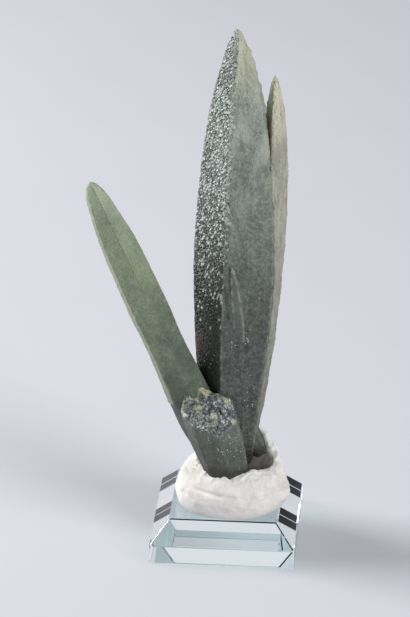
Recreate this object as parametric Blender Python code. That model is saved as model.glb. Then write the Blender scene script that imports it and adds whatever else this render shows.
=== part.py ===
"""Prase quartz on a glass display base.

A cluster of green quartz crystals grown from one root, held by a lump of putty on a square
bevelled block of clear glass. Metres, +Z up. The origin is the centre of the underside of the
glass, X and Y run along its edges, and its front faces -Y.
"""

import math

import bmesh
import bpy
from mathutils import Matrix, Vector, noise

# Driving dimensions, in millimetres
MM = 0.001
BASE_SIDE = 40.0
BASE_SLAB_HEIGHT = 5.5
BASE_HEIGHT = 11.4
BASE_TOP_SIDE = 29.5
BASE_EDGE_WIDTH = 0.25
TOTAL_HEIGHT = 150.0
CLUSTER_TURN = 4.7           # degrees that the cluster is turned about Z, against the base
SOCKET_GAP = 0.3             # clear space between the root and the putty
PUTTY_LIFT = 0.3             # clear space between the putty and the glass
FACE_WAVE = 0.22             # how far a crystal's edges wander from a straight line
WAVE_LENGTH = 14.0

# Corners of the cross-sections at their full width, seen from above, x right and y away
MAIN_SECTION = [(-10.7, 1.0), (-2.4, -7.4), (4.6, -5.6), (11.0, -3.5), (12.2, 1.8),
                (6.0, 8.5), (-1.6, 6.5), (-9.6, 4.4)]
MAIN_FOOT_SECTION = [(-11.3, 1.0), (-3.9, -7.6), (4.2, -5.4), (11.2, -3.3), (12.3, 1.8),
                     (6.0, 8.3), (-1.6, 6.5), (-9.9, 4.4)]
SIDE_SECTION = [(-3.8, 0.4), (-1.4, -4.0), (1.9, -3.6), (3.3, -0.8), (2.6, 3.2), (-1.8, 3.8)]
LOW_SECTION = [(-1.5, 0.3), (-0.8, -1.0), (1.9, -0.7), (2.6, 1.2), (0.2, 2.4)]
LEAN_SECTION = [(-5.8, 0.6), (-4.2, -2.7), (1.5, -4.4), (5.8, -0.9), (4.3, 3.2), (-1.7, 4.5)]
SLIVER_SECTION = [(-4.6, 0.4), (-2.6, -2.4), (2.4, -2.8), (4.4, 0.6), (1.8, 3.4), (-2.4, 3.0)]
STUB_SECTION = [(-7.1, -0.6), (-4.9, -3.8), (1.6, -5.4), (6.8, -2.4), (6.6, 2.6), (0.6, 5.4),
                (-5.4, 3.6)]
STUB_FOOT_SECTION = [(-5.5, 0.4), (-3.4, -3.2), (-0.3, -4.4), (5.3, -1.6), (5.4, 2.4),
                     (0.6, 4.6), (-4.2, 3.2)]
BACK_SECTION = [(-3.0, -0.4), (-0.6, -2.8), (2.8, -1.8), (3.2, 1.4), (0.4, 3.0), (-2.6, 2.0)]

# Each crystal runs from its foot to its tip. Girth is its size at a share of that length.
CRYSTALS = {
    "main": {
        "foot": (0.0, 3.2, 14.6), "tip": (2.5, 1.6, TOTAL_HEIGHT), "bow": 0.25,
        "section": MAIN_SECTION, "foot_section": MAIN_FOOT_SECTION,
        "girth": [(0.0, 0.56), (0.16, 0.72), (0.31, 0.885), (0.45, 0.99), (0.54, 0.985),
                  (0.64, 0.925), (0.75, 0.80), (0.845, 0.62), (0.92, 0.41), (0.965, 0.25),
                  (0.99, 0.10)],
        "rows": 26, "columns": 2, "seed": 3.1,
    },
    "side": {
        "foot": (3.9, 4.6, 16.5), "tip": (12.6, 3.6, 136.0), "bow": 3.4,
        "section": SIDE_SECTION,
        "girth": [(0.0, 0.62), (0.2, 0.84), (0.5, 0.98), (0.78, 1.0), (0.9, 0.78),
                  (0.96, 0.48), (0.99, 0.2)],
        "rows": 20, "columns": 1, "seed": 7.7,
    },
    "low": {
        "foot": (3.4, -1.2, 55.0), "tip": (1.0, -5.4, 84.4), "bow": 0.0,
        "section": LOW_SECTION,
        "girth": [(0.0, 0.7), (0.35, 1.0), (0.7, 0.82), (0.9, 0.42), (0.98, 0.14)],
        "rows": 9, "columns": 1, "seed": 1.9,
    },
    "leaning": {
        "foot": (-9.4, 0.2, 40.2), "tip": (-36.9, -2.0, 107.4), "bow": 0.0,
        "section": LEAN_SECTION,
        "girth": [(0.0, 1.07), (0.14, 1.02), (0.3, 0.95), (0.42, 0.99), (0.6, 0.95),
                  (0.75, 0.86), (0.86, 0.69), (0.94, 0.52), (0.985, 0.29)],
        "rows": 22, "columns": 1, "seed": 5.3,
        "foot_cut": ((-14.4, -4.6, 41.2), (-0.06, -0.22, -1.0)),
    },
    "sliver": {
        "foot": (2.6, -0.5, 15.2), "tip": (-14.2, 0.0, 50.0), "bow": -1.3,
        "section": SLIVER_SECTION,
        "girth": [(0.0, 0.8), (0.3, 1.0), (0.8, 1.04), (0.97, 0.7)],
        "rows": 8, "columns": 1, "seed": 2.6,
    },
    "stub": {
        "foot": (1.9, -5.8, 15.4), "tip": (-6.4, -7.6, 46.0), "bow": 0.0,
        "section": STUB_SECTION, "foot_section": STUB_FOOT_SECTION,
        "girth": [(0.0, 0.92), (0.3, 1.0), (1.0, 1.03)],
        "rows": 7, "columns": 2, "seed": 9.4,
        "top_cut": ((-4.4, -7.6, 41.2), (0.06, -0.80, 1.0), 0.8),
    },
    "back": {
        "foot": (11.7, 3.9, 15.8), "tip": (3.6, 4.9, 34.0), "bow": 0.0,
        "section": BACK_SECTION,
        "girth": [(0.0, 1.0), (0.7, 1.0), (0.94, 0.7)],
        "rows": 6, "columns": 1, "seed": 4.2,
    },
}

# Small chips and slits in the crystals, and lumps on them: centre, half sizes, lean in degrees
CHIPS = {
    "lean_tip_chip": ((-33.2, -5.6, 102.6), (1.0, 0.9, 3.4), -22.0),
    "lean_side_notch": ((-26.6, -1.4, 96.6), (0.7, 2.6, 2.2), -30.0),
    "front_slit": ((9.3, -2.3, 72.0), (0.3, 0.7, 2.6), 3.0),
    "cavity_by_root": ((6.9, -0.4, 26.0), (1.5, 1.6, 3.6), 8.0),
}
LUMPS = {
    "druse_patch": ((-0.5, -3.7, 62.6), (2.0, 1.1, 2.6), 0.0),
    "side_ledge": ((12.3, 3.4, 52.0), (0.7, 2.2, 2.2), 10.0),
}

# The putty around the root: plan radius, rim radius and rim height in eight directions,
# starting at the right and going round by the back
PUTTY_CENTRE = (0.6, 0.2)
PUTTY_RADIUS = [16.5, 15.2, 13.8, 14.6, 14.6, 15.4, 14.8, 15.9]
PUTTY_RIM_RADIUS = [12.6, 11.4, 9.8, 8.6, 8.4, 9.0, 10.2, 9.6]
PUTTY_RIM_HEIGHT = [22.2, 29.0, 27.6, 23.6, 22.4, 23.0, 22.7, 23.0]
PUTTY_COLUMNS = 44
PUTTY_ROWS = 13
PUTTY_LUMP = 0.55
PUTTY_LUMP_SIZE = 5.5
PUTTY_KNOB = (13.4, -3.0, 15.2)
PUTTY_KNOB_SIZE = (4.7, 6.0, 3.4)
PUTTY_PIT = (7.2, -3.6, 23.2)
PUTTY_PIT_SIZE = (2.7, 4.6, 5.2)


def smooth(points, x):
    """The value at x of a smooth curve through (x, value) points."""
    if x <= points[0][0]:
        return points[0][1]
    for i in range(len(points) - 1):
        (x0, y0), (x1, y1) = points[i], points[i + 1]
        if x <= x1:
            before = points[max(i - 1, 0)]
            after = points[min(i + 2, len(points) - 1)]
            slope0 = (y1 - before[1]) / max(x1 - before[0], 1e-9)
            slope1 = (after[1] - y0) / max(after[0] - x0, 1e-9)
            step = x1 - x0
            s = (x - x0) / step
            return ((2 * s**3 - 3 * s**2 + 1) * y0 + (s**3 - 2 * s**2 + s) * step * slope0
                    + (3 * s**2 - 2 * s**3) * y1 + (s**3 - s**2) * step * slope1)
    return points[-1][1]


def round_the_compass(values, angle):
    """A smooth periodic value at an angle, from one value for each of eight directions."""
    count = len(values)
    place = angle / (2 * math.pi) * count
    i = math.floor(place)
    s = place - i
    v0, v1, v2, v3 = (values[(i + k) % count] for k in (-1, 0, 1, 2))
    return 0.5 * (2 * v1 + (v2 - v0) * s + (2 * v0 - 5 * v1 + 4 * v2 - v3) * s**2
                  + (3 * v1 - v0 - 3 * v2 + v3) * s**3)


def wander(seed, place, lane):
    """A slow side to side wander of a crystal's edge, between -1 and 1."""
    return noise.noise(Vector((place / WAVE_LENGTH, seed * 3.7 + lane * 1.9, seed)))


class Prism:
    """The surface of one crystal: faces between straight edges, narrowing to its tip."""

    def __init__(self, foot, tip, bow, section, girth, seed, foot_section=None, grow=0.0):
        self.foot, self.tip = Vector(foot), Vector(tip)
        self.bow, self.girth, self.seed, self.grow = bow, girth, seed, grow
        self.section = section
        self.foot_section = foot_section or section
        self.length = (self.tip - self.foot).length
        self.along = (self.tip - self.foot).normalized()
        side = Vector((1, 0, 0))
        self.across = (side - self.along * side.dot(self.along)).normalized()
        self.away = self.along.cross(self.across)

    def corner(self, i, share):
        """Where edge i crosses the section at a share of the length, relative to the axis."""
        blend = min(max(share * 1.6, 0.0), 1.0)
        fx, fy = self.foot_section[i]
        sx, sy = self.section[i]
        x, y = fx + (sx - fx) * blend, fy + (sy - fy) * blend
        size = smooth(self.girth, share)
        wave = FACE_WAVE * min(size, 1.0)
        x = x * size + wave * wander(self.seed, share * self.length, i)
        y = y * size + wave * wander(self.seed + 11.0, share * self.length, i)
        reach = math.hypot(x, y)
        swell = (reach + self.grow) / max(reach, 1e-6)
        return x * swell, y * swell

    def point(self, i, step, share, shift=0.0):
        """A point of face i: step 0 to 1 runs from its edge to the next one."""
        x0, y0 = self.corner(i, share)
        x1, y1 = self.corner((i + 1) % len(self.section), share)
        x, y = x0 + (x1 - x0) * step, y0 + (y1 - y0) * step
        sway = self.bow * 4 * share * (1 - share)
        axis = self.foot + self.along * (self.length * share + shift) + self.across * sway
        return axis + self.across * x + self.away * y

    def reach_to(self, i, step, share, cut):
        """How far a point lies short of a cutting plane, measured along the crystal."""
        place, normal = Vector(cut[0]), Vector(cut[1]).normalized()
        gap = (place - self.point(i, step, share)).dot(normal)
        return gap / self.along.dot(normal)


def break_bump(at, size, seed):
    """The height of the rough break at a point, in millimetres."""
    coarse = noise.noise(Vector((at.x / 2.6, at.y / 2.6, seed)))
    fine = noise.noise(Vector((at.x / 1.1, at.y / 1.1, seed + 5.0)))
    return size * (coarse + 0.5 * fine)


def crystal_object(name, spec, grow=0.0):
    """One crystal as a closed mesh, swollen by grow where it cuts its own socket."""
    shape = Prism(spec["foot"], spec["tip"], spec["bow"], spec["section"], spec["girth"],
                  spec["seed"], spec.get("foot_section"), grow)
    sides, columns, rows = len(spec["section"]), spec["columns"], spec["rows"]
    lanes = [(i, c / columns) for i in range(sides) for c in range(columns)]
    top_cut, foot_cut = spec.get("top_cut"), spec.get("foot_cut")
    mesh = bmesh.new()
    rings = []
    for r in range(rows + 1):
        share = r / (rows + 1) if not top_cut else r / rows
        if not top_cut:
            share = 1 - (1 - share) ** 1.25
        ring = []
        for i, step in lanes:
            shift = -grow if r == 0 else 0.0
            if foot_cut:
                shift += shape.reach_to(i, step, 0.0, foot_cut) * (1 - share) ** 3
            if top_cut:
                shift += shape.reach_to(i, step, 1.0, top_cut) * share
                if r == rows:
                    at = shape.point(i, step, share)
                    shift += grow + break_bump(at, top_cut[2], spec["seed"])
            ring.append(mesh.verts.new(shape.point(i, step, share, shift) * MM))
        rings.append(ring)
    if top_cut:
        add_cap_rings(mesh, rings, shape, top_cut, spec["seed"], grow)
        hub = mean_point(rings[-1])
        hub += shape.along * break_bump(hub / MM, top_cut[2], spec["seed"]) * MM * 0.5
        tip = mesh.verts.new(hub)
    else:
        tip = mesh.verts.new((shape.tip + shape.along * grow) * MM)
    foot_vertex = mesh.verts.new(mean_point(rings[0]))
    count = len(lanes)
    for low, high in zip(rings, rings[1:]):
        for k in range(count):
            n = (k + 1) % count
            mesh.faces.new((low[k], low[n], high[n], high[k]))
    for k in range(count):
        n = (k + 1) % count
        mesh.faces.new((rings[-1][k], rings[-1][n], tip))
        mesh.faces.new((rings[0][n], rings[0][k], foot_vertex))
    return object_from(mesh, name)


def add_cap_rings(mesh, rings, shape, cut, seed, grow):
    """Rings that carry a rough break inwards from its rim."""
    rim = [v.co.copy() for v in rings[-1]]
    centre = sum(rim, Vector()) / len(rim)
    for share in (0.30, 0.62):
        ring = []
        for co in rim:
            at = co.lerp(centre, share)
            bump = break_bump(at / MM, cut[2], seed) * (0.4 + share)
            ring.append(mesh.verts.new(at + shape.along * bump * MM))
        rings.append(ring)


def mean_point(ring):
    return sum((v.co for v in ring), Vector()) / len(ring)


def object_from(mesh, name):
    """A scene object from a bmesh, its faces split into triangles and pointing out."""
    bmesh.ops.triangulate(mesh, faces=mesh.faces[:])
    bmesh.ops.recalc_face_normals(mesh, faces=mesh.faces[:])
    data = bpy.data.meshes.new(name)
    mesh.to_mesh(data)
    mesh.free()
    made = bpy.data.objects.new(name, data)
    bpy.context.scene.collection.objects.link(made)
    return made


def combine(target, others, operation):
    """Join the others to the target, or cut them from it, and remove them."""
    for other in others:
        step = target.modifiers.new(other.name, "BOOLEAN")
        step.operation = operation
        step.object = other
        step.solver = "EXACT"
    bpy.context.view_layer.update()
    result = bpy.data.meshes.new_from_object(
        target.evaluated_get(bpy.context.evaluated_depsgraph_get()))
    target.modifiers.clear()
    target.data = result
    for other in others:
        bpy.data.objects.remove(other)


def heal(target, distance):
    """Merge points closer than distance and drop the slivers between them."""
    mesh = bmesh.new()
    mesh.from_mesh(target.data)
    bmesh.ops.remove_doubles(mesh, verts=mesh.verts[:], dist=distance)
    bmesh.ops.dissolve_degenerate(mesh, dist=distance, edges=mesh.edges[:])
    bmesh.ops.triangulate(mesh, faces=mesh.faces[:])
    mesh.to_mesh(target.data)
    mesh.free()


def material(name, colour, roughness, transmission=0.0, ior=1.5):
    made = bpy.data.materials.new(name)
    made.use_nodes = True
    shader = made.node_tree.nodes["Principled BSDF"]
    shader.inputs["Base Color"].default_value = (*colour, 1.0)
    shader.inputs["Roughness"].default_value = roughness
    shader.inputs["Metallic"].default_value = 0.0
    shader.inputs["Transmission Weight"].default_value = transmission
    shader.inputs["IOR"].default_value = ior
    return made


def ball(name, centre, size, lean=0.0):
    """A faceted ball stretched to three half sizes, its top leaning to the right."""
    mesh = bmesh.new()
    place = (Matrix.Translation(Vector(centre) * MM)
             @ Matrix.Rotation(math.radians(lean), 4, "Y")
             @ Matrix.Diagonal((*(Vector(size) * MM), 1)))
    bmesh.ops.create_icosphere(mesh, subdivisions=2, radius=1.0, matrix=place)
    return object_from(mesh, name)


def cluster_object(name, grow=0.0):
    """All the crystals joined in one solid, as they grew."""
    crystals = [crystal_object(f"{name}_{key}", spec, grow) for key, spec in CRYSTALS.items()]
    combine(crystals[0], crystals[1:], "UNION")
    if not grow:
        combine(crystals[0], [ball(key, *lump) for key, lump in LUMPS.items()], "UNION")
        combine(crystals[0], [ball(key, *chip) for key, chip in CHIPS.items()], "DIFFERENCE")
    crystals[0].name = name
    turn = Matrix.Rotation(math.radians(CLUSTER_TURN), 4, "Z")
    crystals[0].data.transform(turn)
    return crystals[0]


def putty_point(angle, row):
    """A point on the putty, from its foot at row 0 over the rim to its middle at row 1."""
    radius = round_the_compass(PUTTY_RADIUS, angle)
    rim = round_the_compass(PUTTY_RIM_RADIUS, angle)
    height = round_the_compass(PUTTY_RIM_HEIGHT, angle)
    foot = BASE_HEIGHT + PUTTY_LIFT
    rise = height - foot
    reach = smooth([(0.0, radius - 0.7), (0.12, radius - 0.1), (0.3, radius),
                    (0.5, radius - 0.9), (0.66, rim + 1.5), (0.76, rim), (0.86, rim - 1.8),
                    (1.0, 0.0)], row)
    lift = smooth([(0.0, 0.0), (0.12, 0.14 * rise), (0.3, 0.40 * rise), (0.5, 0.70 * rise),
                   (0.66, 0.93 * rise), (0.76, rise), (0.86, 0.93 * rise),
                   (1.0, 0.6 * rise)], row)
    x = PUTTY_CENTRE[0] + reach * math.cos(angle)
    y = PUTTY_CENTRE[1] + reach * math.sin(angle)
    at = Vector((x, y, foot + lift))
    lump = noise.noise(at / PUTTY_LUMP_SIZE) * PUTTY_LUMP * min(1.0, row * 6)
    return at + Vector((math.cos(angle), math.sin(angle), 0.6)) * lump


def putty_blob():
    mesh = bmesh.new()
    rings = []
    for r in range(PUTTY_ROWS):
        row = r / PUTTY_ROWS
        ring = [mesh.verts.new(putty_point(2 * math.pi * c / PUTTY_COLUMNS, row) * MM)
                for c in range(PUTTY_COLUMNS)]
        rings.append(ring)
    crown = mesh.verts.new(putty_point(0.0, 1.0) * MM)
    for low, high in zip(rings, rings[1:]):
        for k in range(PUTTY_COLUMNS):
            n = (k + 1) % PUTTY_COLUMNS
            mesh.faces.new((low[k], low[n], high[n], high[k]))
    for k in range(PUTTY_COLUMNS):
        mesh.faces.new((rings[-1][k], rings[-1][(k + 1) % PUTTY_COLUMNS], crown))
    mesh.faces.new(list(reversed(rings[0])))
    return object_from(mesh, "putty")




def build_cluster():
    cluster = cluster_object("prase_cluster")
    heal(cluster, 1e-5)
    cluster.data.materials.clear()
    cluster.data.materials.append(material("prase", (0.13, 0.17, 0.13), 0.5))


def build_putty():
    putty = putty_blob()
    combine(putty, [ball("knob", PUTTY_KNOB, PUTTY_KNOB_SIZE)], "UNION")
    combine(putty, [ball("pit", PUTTY_PIT, PUTTY_PIT_SIZE),
                    cluster_object("socket", SOCKET_GAP * 1.4)], "DIFFERENCE")
    heal(putty, 1e-5)
    putty.data.materials.clear()
    putty.data.materials.append(material("putty", (0.80, 0.78, 0.73), 0.85))


def build_glass_base():
    """The square glass block: an upright slab and four sloping sides up to a flat top."""
    mesh = bmesh.new()
    levels = [(BASE_SIDE, 0.0), (BASE_SIDE, BASE_SLAB_HEIGHT), (BASE_TOP_SIDE, BASE_HEIGHT)]
    rings = []
    for side, height in levels:
        half = side / 2
        corners = [(-half, -half), (half, -half), (half, half), (-half, half)]
        rings.append([mesh.verts.new(Vector((x, y, height)) * MM) for x, y in corners])
    for low, high in zip(rings, rings[1:]):
        for k in range(4):
            n = (k + 1) % 4
            mesh.faces.new((low[k], low[n], high[n], high[k]))
    mesh.faces.new(rings[-1])
    mesh.faces.new(list(reversed(rings[0])))
    bmesh.ops.bevel(mesh, geom=mesh.edges[:], offset=BASE_EDGE_WIDTH * MM, segments=1,
                    affect="EDGES")
    base = object_from(mesh, "glass_base")
    base.data.materials.append(material("glass", (0.93, 0.98, 0.97), 0.02, 1.0, 1.52))


def main():
    for old in list(bpy.data.objects):
        bpy.data.objects.remove(old)
    build_glass_base()
    build_putty()
    build_cluster()


if __name__ == "__main__":
    main()
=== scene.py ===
"""Prase quartz on a glass display base: the finished look.

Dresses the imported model: sugary green crystals grown in one cluster, a hand-pressed lump of
off-white putty round their root, and a bevelled block of clear glass, on a pale studio floor.
"""

import math

import bmesh
import bpy
import numpy as np
from bpy.props import FloatProperty, FloatVectorProperty, PointerProperty
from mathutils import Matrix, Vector, noise


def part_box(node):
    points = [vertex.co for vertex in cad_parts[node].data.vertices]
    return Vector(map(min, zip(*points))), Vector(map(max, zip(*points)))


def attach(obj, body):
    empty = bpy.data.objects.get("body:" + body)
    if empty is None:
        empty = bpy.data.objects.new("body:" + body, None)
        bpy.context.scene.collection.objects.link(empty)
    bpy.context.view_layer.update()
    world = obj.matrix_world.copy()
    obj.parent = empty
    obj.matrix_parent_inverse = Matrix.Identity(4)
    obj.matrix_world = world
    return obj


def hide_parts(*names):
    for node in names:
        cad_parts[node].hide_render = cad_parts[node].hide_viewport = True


bl_info = {
    "name": "Prase Quartz Specimen",
    "version": (1, 0, 0),
    "blender": (4, 5, 0),
    "location": "3D View > Sidebar > Specimen",
    "description": "Builds a prase quartz cluster, its putty, its glass base and a pale stage",
    "category": "Object",
}

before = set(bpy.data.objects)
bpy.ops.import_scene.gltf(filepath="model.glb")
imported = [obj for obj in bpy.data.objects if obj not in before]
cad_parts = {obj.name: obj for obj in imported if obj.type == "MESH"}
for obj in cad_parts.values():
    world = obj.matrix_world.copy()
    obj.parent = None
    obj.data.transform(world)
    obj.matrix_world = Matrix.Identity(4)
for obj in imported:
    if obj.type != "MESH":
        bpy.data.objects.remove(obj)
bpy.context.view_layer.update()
MM = 0.001
GLASS_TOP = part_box("glass_base")[1].z / MM
TOTAL_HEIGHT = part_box("prase_cluster")[1].z / MM

# The photograph's frame in pixels, and the camera that matches it, in millimetres and degrees
PHOTO_LONG_SIDE = 617
CAMERA_FOCAL_PIXELS = 4000
CAMERA_PLACE = (75.0, -979.9, 537.4)
CAMERA_TURN = 4.73
CAMERA_PITCH = 25.48
SENSOR_WIDTH = 36.0
CAMERA_CLIP = (50, 50000)

# The cluster's own frame is turned about Z against the base. All sizes are in millimetres.
CLUSTER_TURN = 4.7
FACE_WAVE = 0.22
WAVE_LENGTH = 14.0

# How fast the outline at a crystal's foot becomes its section, how closely its rows crowd
# towards the tip, and how fast the slant of a cut foot fades up the crystal
FOOT_BLEND = 1.6
ROW_CROWDING = 1.25
FOOT_FADE = 3

# Each crystal runs from foot to tip and may bow to the right. Its section is seen from above.
# Girth is its size at a share of its length, and lane_gap and row_gap are the spacing of the
# mesh round it and along it. A cut is a place and a direction, with a break's roughness.
CRYSTALS = {
    "main_crystal": {
        "foot": (0.0, 3.2, 14.6), "tip": (2.5, 1.6, TOTAL_HEIGHT), "bow": 0.25,
        "section": [(-10.7, 1.0), (-2.4, -7.4), (4.6, -5.6), (11.0, -3.5), (12.2, 1.8),
                    (6.0, 8.5), (-1.6, 6.5), (-9.6, 4.4)],
        "foot_section": [(-11.3, 1.0), (-3.9, -7.6), (4.2, -5.4), (11.2, -3.3), (12.3, 1.8),
                         (6.0, 8.3), (-1.6, 6.5), (-9.9, 4.4)],
        "girth": [(0.0, 0.56), (0.16, 0.72), (0.31, 0.885), (0.45, 0.99), (0.54, 0.985),
                  (0.64, 0.925), (0.75, 0.80), (0.845, 0.62), (0.92, 0.41), (0.965, 0.25),
                  (0.99, 0.11), (1.0, 0.03)],
        "seed": 3.1, "lane_gap": 0.33, "row_gap": 0.34, "druse_gap": 0.2, "druse_face": 0,
    },
    "side_crystal": {
        "foot": (3.9, 4.6, 16.5), "tip": (12.6, 3.6, 136.0), "bow": 3.4,
        "section": [(-3.8, 0.4), (-1.4, -4.0), (1.9, -3.6), (3.3, -0.8), (2.6, 3.2),
                    (-1.8, 3.8)],
        "girth": [(0.0, 0.62), (0.2, 0.84), (0.5, 0.98), (0.78, 1.0), (0.9, 0.78),
                  (0.96, 0.48), (0.99, 0.2), (1.0, 0.04)],
        "seed": 7.7, "lane_gap": 0.25, "row_gap": 0.3,
    },
    "low_crystal": {
        "foot": (3.4, -1.2, 55.0), "tip": (1.0, -5.4, 84.4),
        "section": [(-1.5, 0.3), (-0.8, -1.0), (1.9, -0.7), (2.6, 1.2), (0.2, 2.4)],
        "girth": [(0.0, 0.7), (0.35, 1.0), (0.7, 0.82), (0.9, 0.42), (0.98, 0.14),
                  (1.0, 0.04)],
        "seed": 1.9, "lane_gap": 0.2, "row_gap": 0.22,
    },
    "leaning_crystal": {
        "foot": (-9.4, 0.2, 40.2), "tip": (-36.9, -2.0, 107.4),
        "section": [(-5.8, 0.6), (-4.2, -2.7), (1.5, -4.4), (5.8, -0.9), (4.3, 3.2),
                    (-1.7, 4.5)],
        "girth": [(0.0, 1.07), (0.14, 1.02), (0.3, 0.95), (0.42, 0.99), (0.6, 0.95),
                  (0.75, 0.86), (0.86, 0.69), (0.94, 0.52), (0.985, 0.29), (1.0, 0.08)],
        "seed": 5.3, "lane_gap": 0.24, "row_gap": 0.26,
        "foot_cut": ((-14.4, -4.6, 41.2), (-0.06, -0.22, -1.0)),
    },
    "sliver_crystal": {
        "foot": (2.6, -0.5, 15.2), "tip": (-14.2, 0.0, 50.0), "bow": -1.3,
        "section": [(-4.6, 0.4), (-2.6, -2.4), (2.4, -2.8), (4.4, 0.6), (1.8, 3.4), (-2.4, 3.0)],
        "girth": [(0.0, 0.8), (0.3, 1.0), (0.8, 1.04), (0.97, 0.7)],
        "seed": 2.6, "lane_gap": 0.3, "row_gap": 0.3,
    },
    "broken_stub": {
        "foot": (1.9, -5.8, 15.4), "tip": (-6.4, -7.6, 46.0),
        "section": [(-7.1, -0.6), (-4.9, -3.8), (1.6, -5.4), (6.8, -2.4), (6.6, 2.6), (0.6, 5.4),
                    (-5.4, 3.6)],
        "foot_section": [(-5.5, 0.4), (-3.4, -3.2), (-0.3, -4.4), (5.3, -1.6), (5.4, 2.4),
                         (0.6, 4.6), (-4.2, 3.2)],
        "girth": [(0.0, 0.92), (0.3, 1.0), (1.0, 1.03)],
        "seed": 9.4, "lane_gap": 0.2, "row_gap": 0.22,
        "top_cut": ((-4.4, -7.6, 41.2), (0.06, -0.80, 1.0), 0.8),
    },
    "back_stub": {
        "foot": (11.7, 3.9, 15.8), "tip": (3.6, 4.9, 34.0),
        "section": [(-3.0, -0.4), (-0.6, -2.8), (2.8, -1.8), (3.2, 1.4), (0.4, 3.0),
                    (-2.6, 2.0)],
        "girth": [(0.0, 1.0), (0.7, 1.0), (0.94, 0.7)],
        "seed": 4.2, "lane_gap": 0.25, "row_gap": 0.25,
    },
}

# The small crystals of the druse: how large they are, how far they stand out and how steeply
# their ends slope back
DRUSE_CELL = 0.75
DRUSE_SLOPE = 0.6
DRUSE_REACH = 0.2

# Relief of the sugary skin and of the worn edges, in millimetres
SKIN_GRAINS = 0.06
SKIN_STRIPES = 0.06
SKIN_LUMPS = 0.16
SKIN_PITS = 0.14
UPPER_SWELLS = 0.34
GROWTH_RIDGES = 0.22
EDGE_WEAR = 0.10
EDGE_CHIPS = 0.28
WORN_EDGE_WIDTH = 0.35
PALE_EDGE_WIDTH = 0.45

# How far an edge turns where it starts to count as sharp, and where it is fully so, in degrees
SHARP_TURNS = (22, 52)

# Soft spots on the crystals: a centre, a half size along each axis, and a lean in degrees
DRUSE_PATCH = ((-0.4, -4.3, 62.6), (1.9, 2.0, 2.6))
FRONT_SLIT = ((9.3, -2.3, 72.0), (0.32, 1.4, 2.9), 3.0)
FRONT_GROOVE = ((-0.6, -4.6, 74.0), (0.75, 1.5, 9.5), -6.0)
RUSTY_SPOT = ((-8.2, 1.0, 58.0), (2.4, 4.0, 4.5))
PALE_CHIP = ((-33.2, -5.2, 102.6), (0.9, 2.0, 3.2), -22.0)
LEAN_NOTCH = ((-26.6, -1.4, 96.6), (0.8, 3.0, 1.6), -30.0)

# The heights where each look on the crystals starts and ends, in millimetres. The druse
# spills over its edge above one height, rust lies about another, and a tip's cream comes in
# over the last.
DRUSE_GROWS = (46, 90)
DRUSE_SPILLS = 84
SWELLS_GROW = (60, 110)
BLOOM_GROWS = (92, 116)
RUST_HEIGHT = 112
# Painted shade on the leaning crystal grows downward: on its far facets between the first pair of
# heights, at its foot between the second
LEAN_SHADE_GROWS = (92, 66)
LEAN_FOOT_SHADE_GROWS = (56, 42)
# The druse's painted sheen pales it upward between these heights
CRUST_SHEEN_GROWS = (72, 116)
# The painted glint flecks fade out upward between these heights
GLINT_FLECKS_FADE = (70, 84)
# Painted shade darkens the crystals' feet by the putty, fading out upward between these heights
ROOT_SHADE_FADES = (24.0, 26.2)
TIP_FADE = 22

# The size of each small look in a material, in millimetres
GLINT_FLECK_SIZE = 0.55
SHARD_SIZE = 0.5
HAZE_SIZE = 1000 / 260

# The share of the druse's facets painted pale as glints, a painted highlight, by height
GLINT_SHARE = [(30, 0.0), (52, 0.0), (66, 0.03), (76, 0.12), (90, 0.26), (105, 0.46),
               (125, 0.5), (140, 0.34), (150, 0.25)]

# The putty round the root: its reach and its rim in eight directions, from the right and
# round by the back, and its height at each share of the way from foot to middle. Its crease
# and the painted shade on its inner slope lie by row, and a painted shade on its lower slope
# fades out between two heights.
PUTTY_CENTRE = (0.6, 0.2)
PUTTY_RADIUS = [16.5, 15.2, 13.8, 14.6, 14.6, 15.4, 14.8, 15.9]
PUTTY_RIM_RADIUS = [12.6, 11.4, 9.8, 8.6, 8.4, 9.0, 10.2, 9.6]
PUTTY_RIM_HEIGHT = [22.2, 29.0, 27.6, 23.6, 22.4, 23.0, 22.7, 23.0]
PUTTY_FOOT = GLASS_TOP + 0.05
PUTTY_STOPS = [0.0, 0.12, 0.3, 0.5, 0.66, 0.76, 0.86, 1.0]
PUTTY_LIFTS = [0.0, 0.14, 0.40, 0.70, 0.93, 1.0, 0.93, 0.6]
PUTTY_LUMP = 0.55
PUTTY_LUMP_SIZE = 5.5
PUTTY_COLUMNS = 300
PUTTY_ROWS = 170
PUTTY_CREASE_ROW = 0.44
PUTTY_CREASE_ANGLE = math.radians(235)
PUTTY_KNOB = (13.4, -3.0, 15.2)
PUTTY_KNOB_SIZE = (4.7, 6.0, 3.4)
PUTTY_INNER_SHADE_ROW = 0.80
PUTTY_SHADED = (13, 19)

# The floor lies this far below the glass, in millimetres, so that their faces do not meet
FLOOR_GAP = 0.05

# The stage, in metres: half the floor's side, and each softbox's place and size
FLOOR_REACH = 6.0
LEFT_SOFTBOX = ((-0.85, 0.18, 0.48), (0.42, 0.5))
RIGHT_SOFTBOX = ((0.92, -0.62, 0.66), (0.6, 0.6))
LIT_HEIGHT = 0.45 * TOTAL_HEIGHT * MM

# The masks that every crystal carries beside the one for its edges
# Of these, the glint mask paints highlights and the shade mask paints shade; the bloom mask is a
# pale bloom on the main crystal and painted light on the leaning crystal's left facet
MASKS = ("druse", "stain", "broken", "glint", "painted_shade", "bloom")


def linear(*values):
    """A linear colour from the everyday 0 to 255 values."""
    return tuple(share / 12.92 if share <= 0.04045 else ((share + 0.055) / 1.055) ** 2.4
                 for share in (value / 255 for value in values))


SHARD_GREY = linear(112, 121, 119)
# Pale shards of a break: partly the crushed quartz's own white, partly painted glints
SHARD_WHITE_AND_GLINT = linear(214, 219, 216)
BREAK_HOLLOW = linear(48, 56, 54)
BREAK_CREAM = linear(206, 204, 172)
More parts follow.
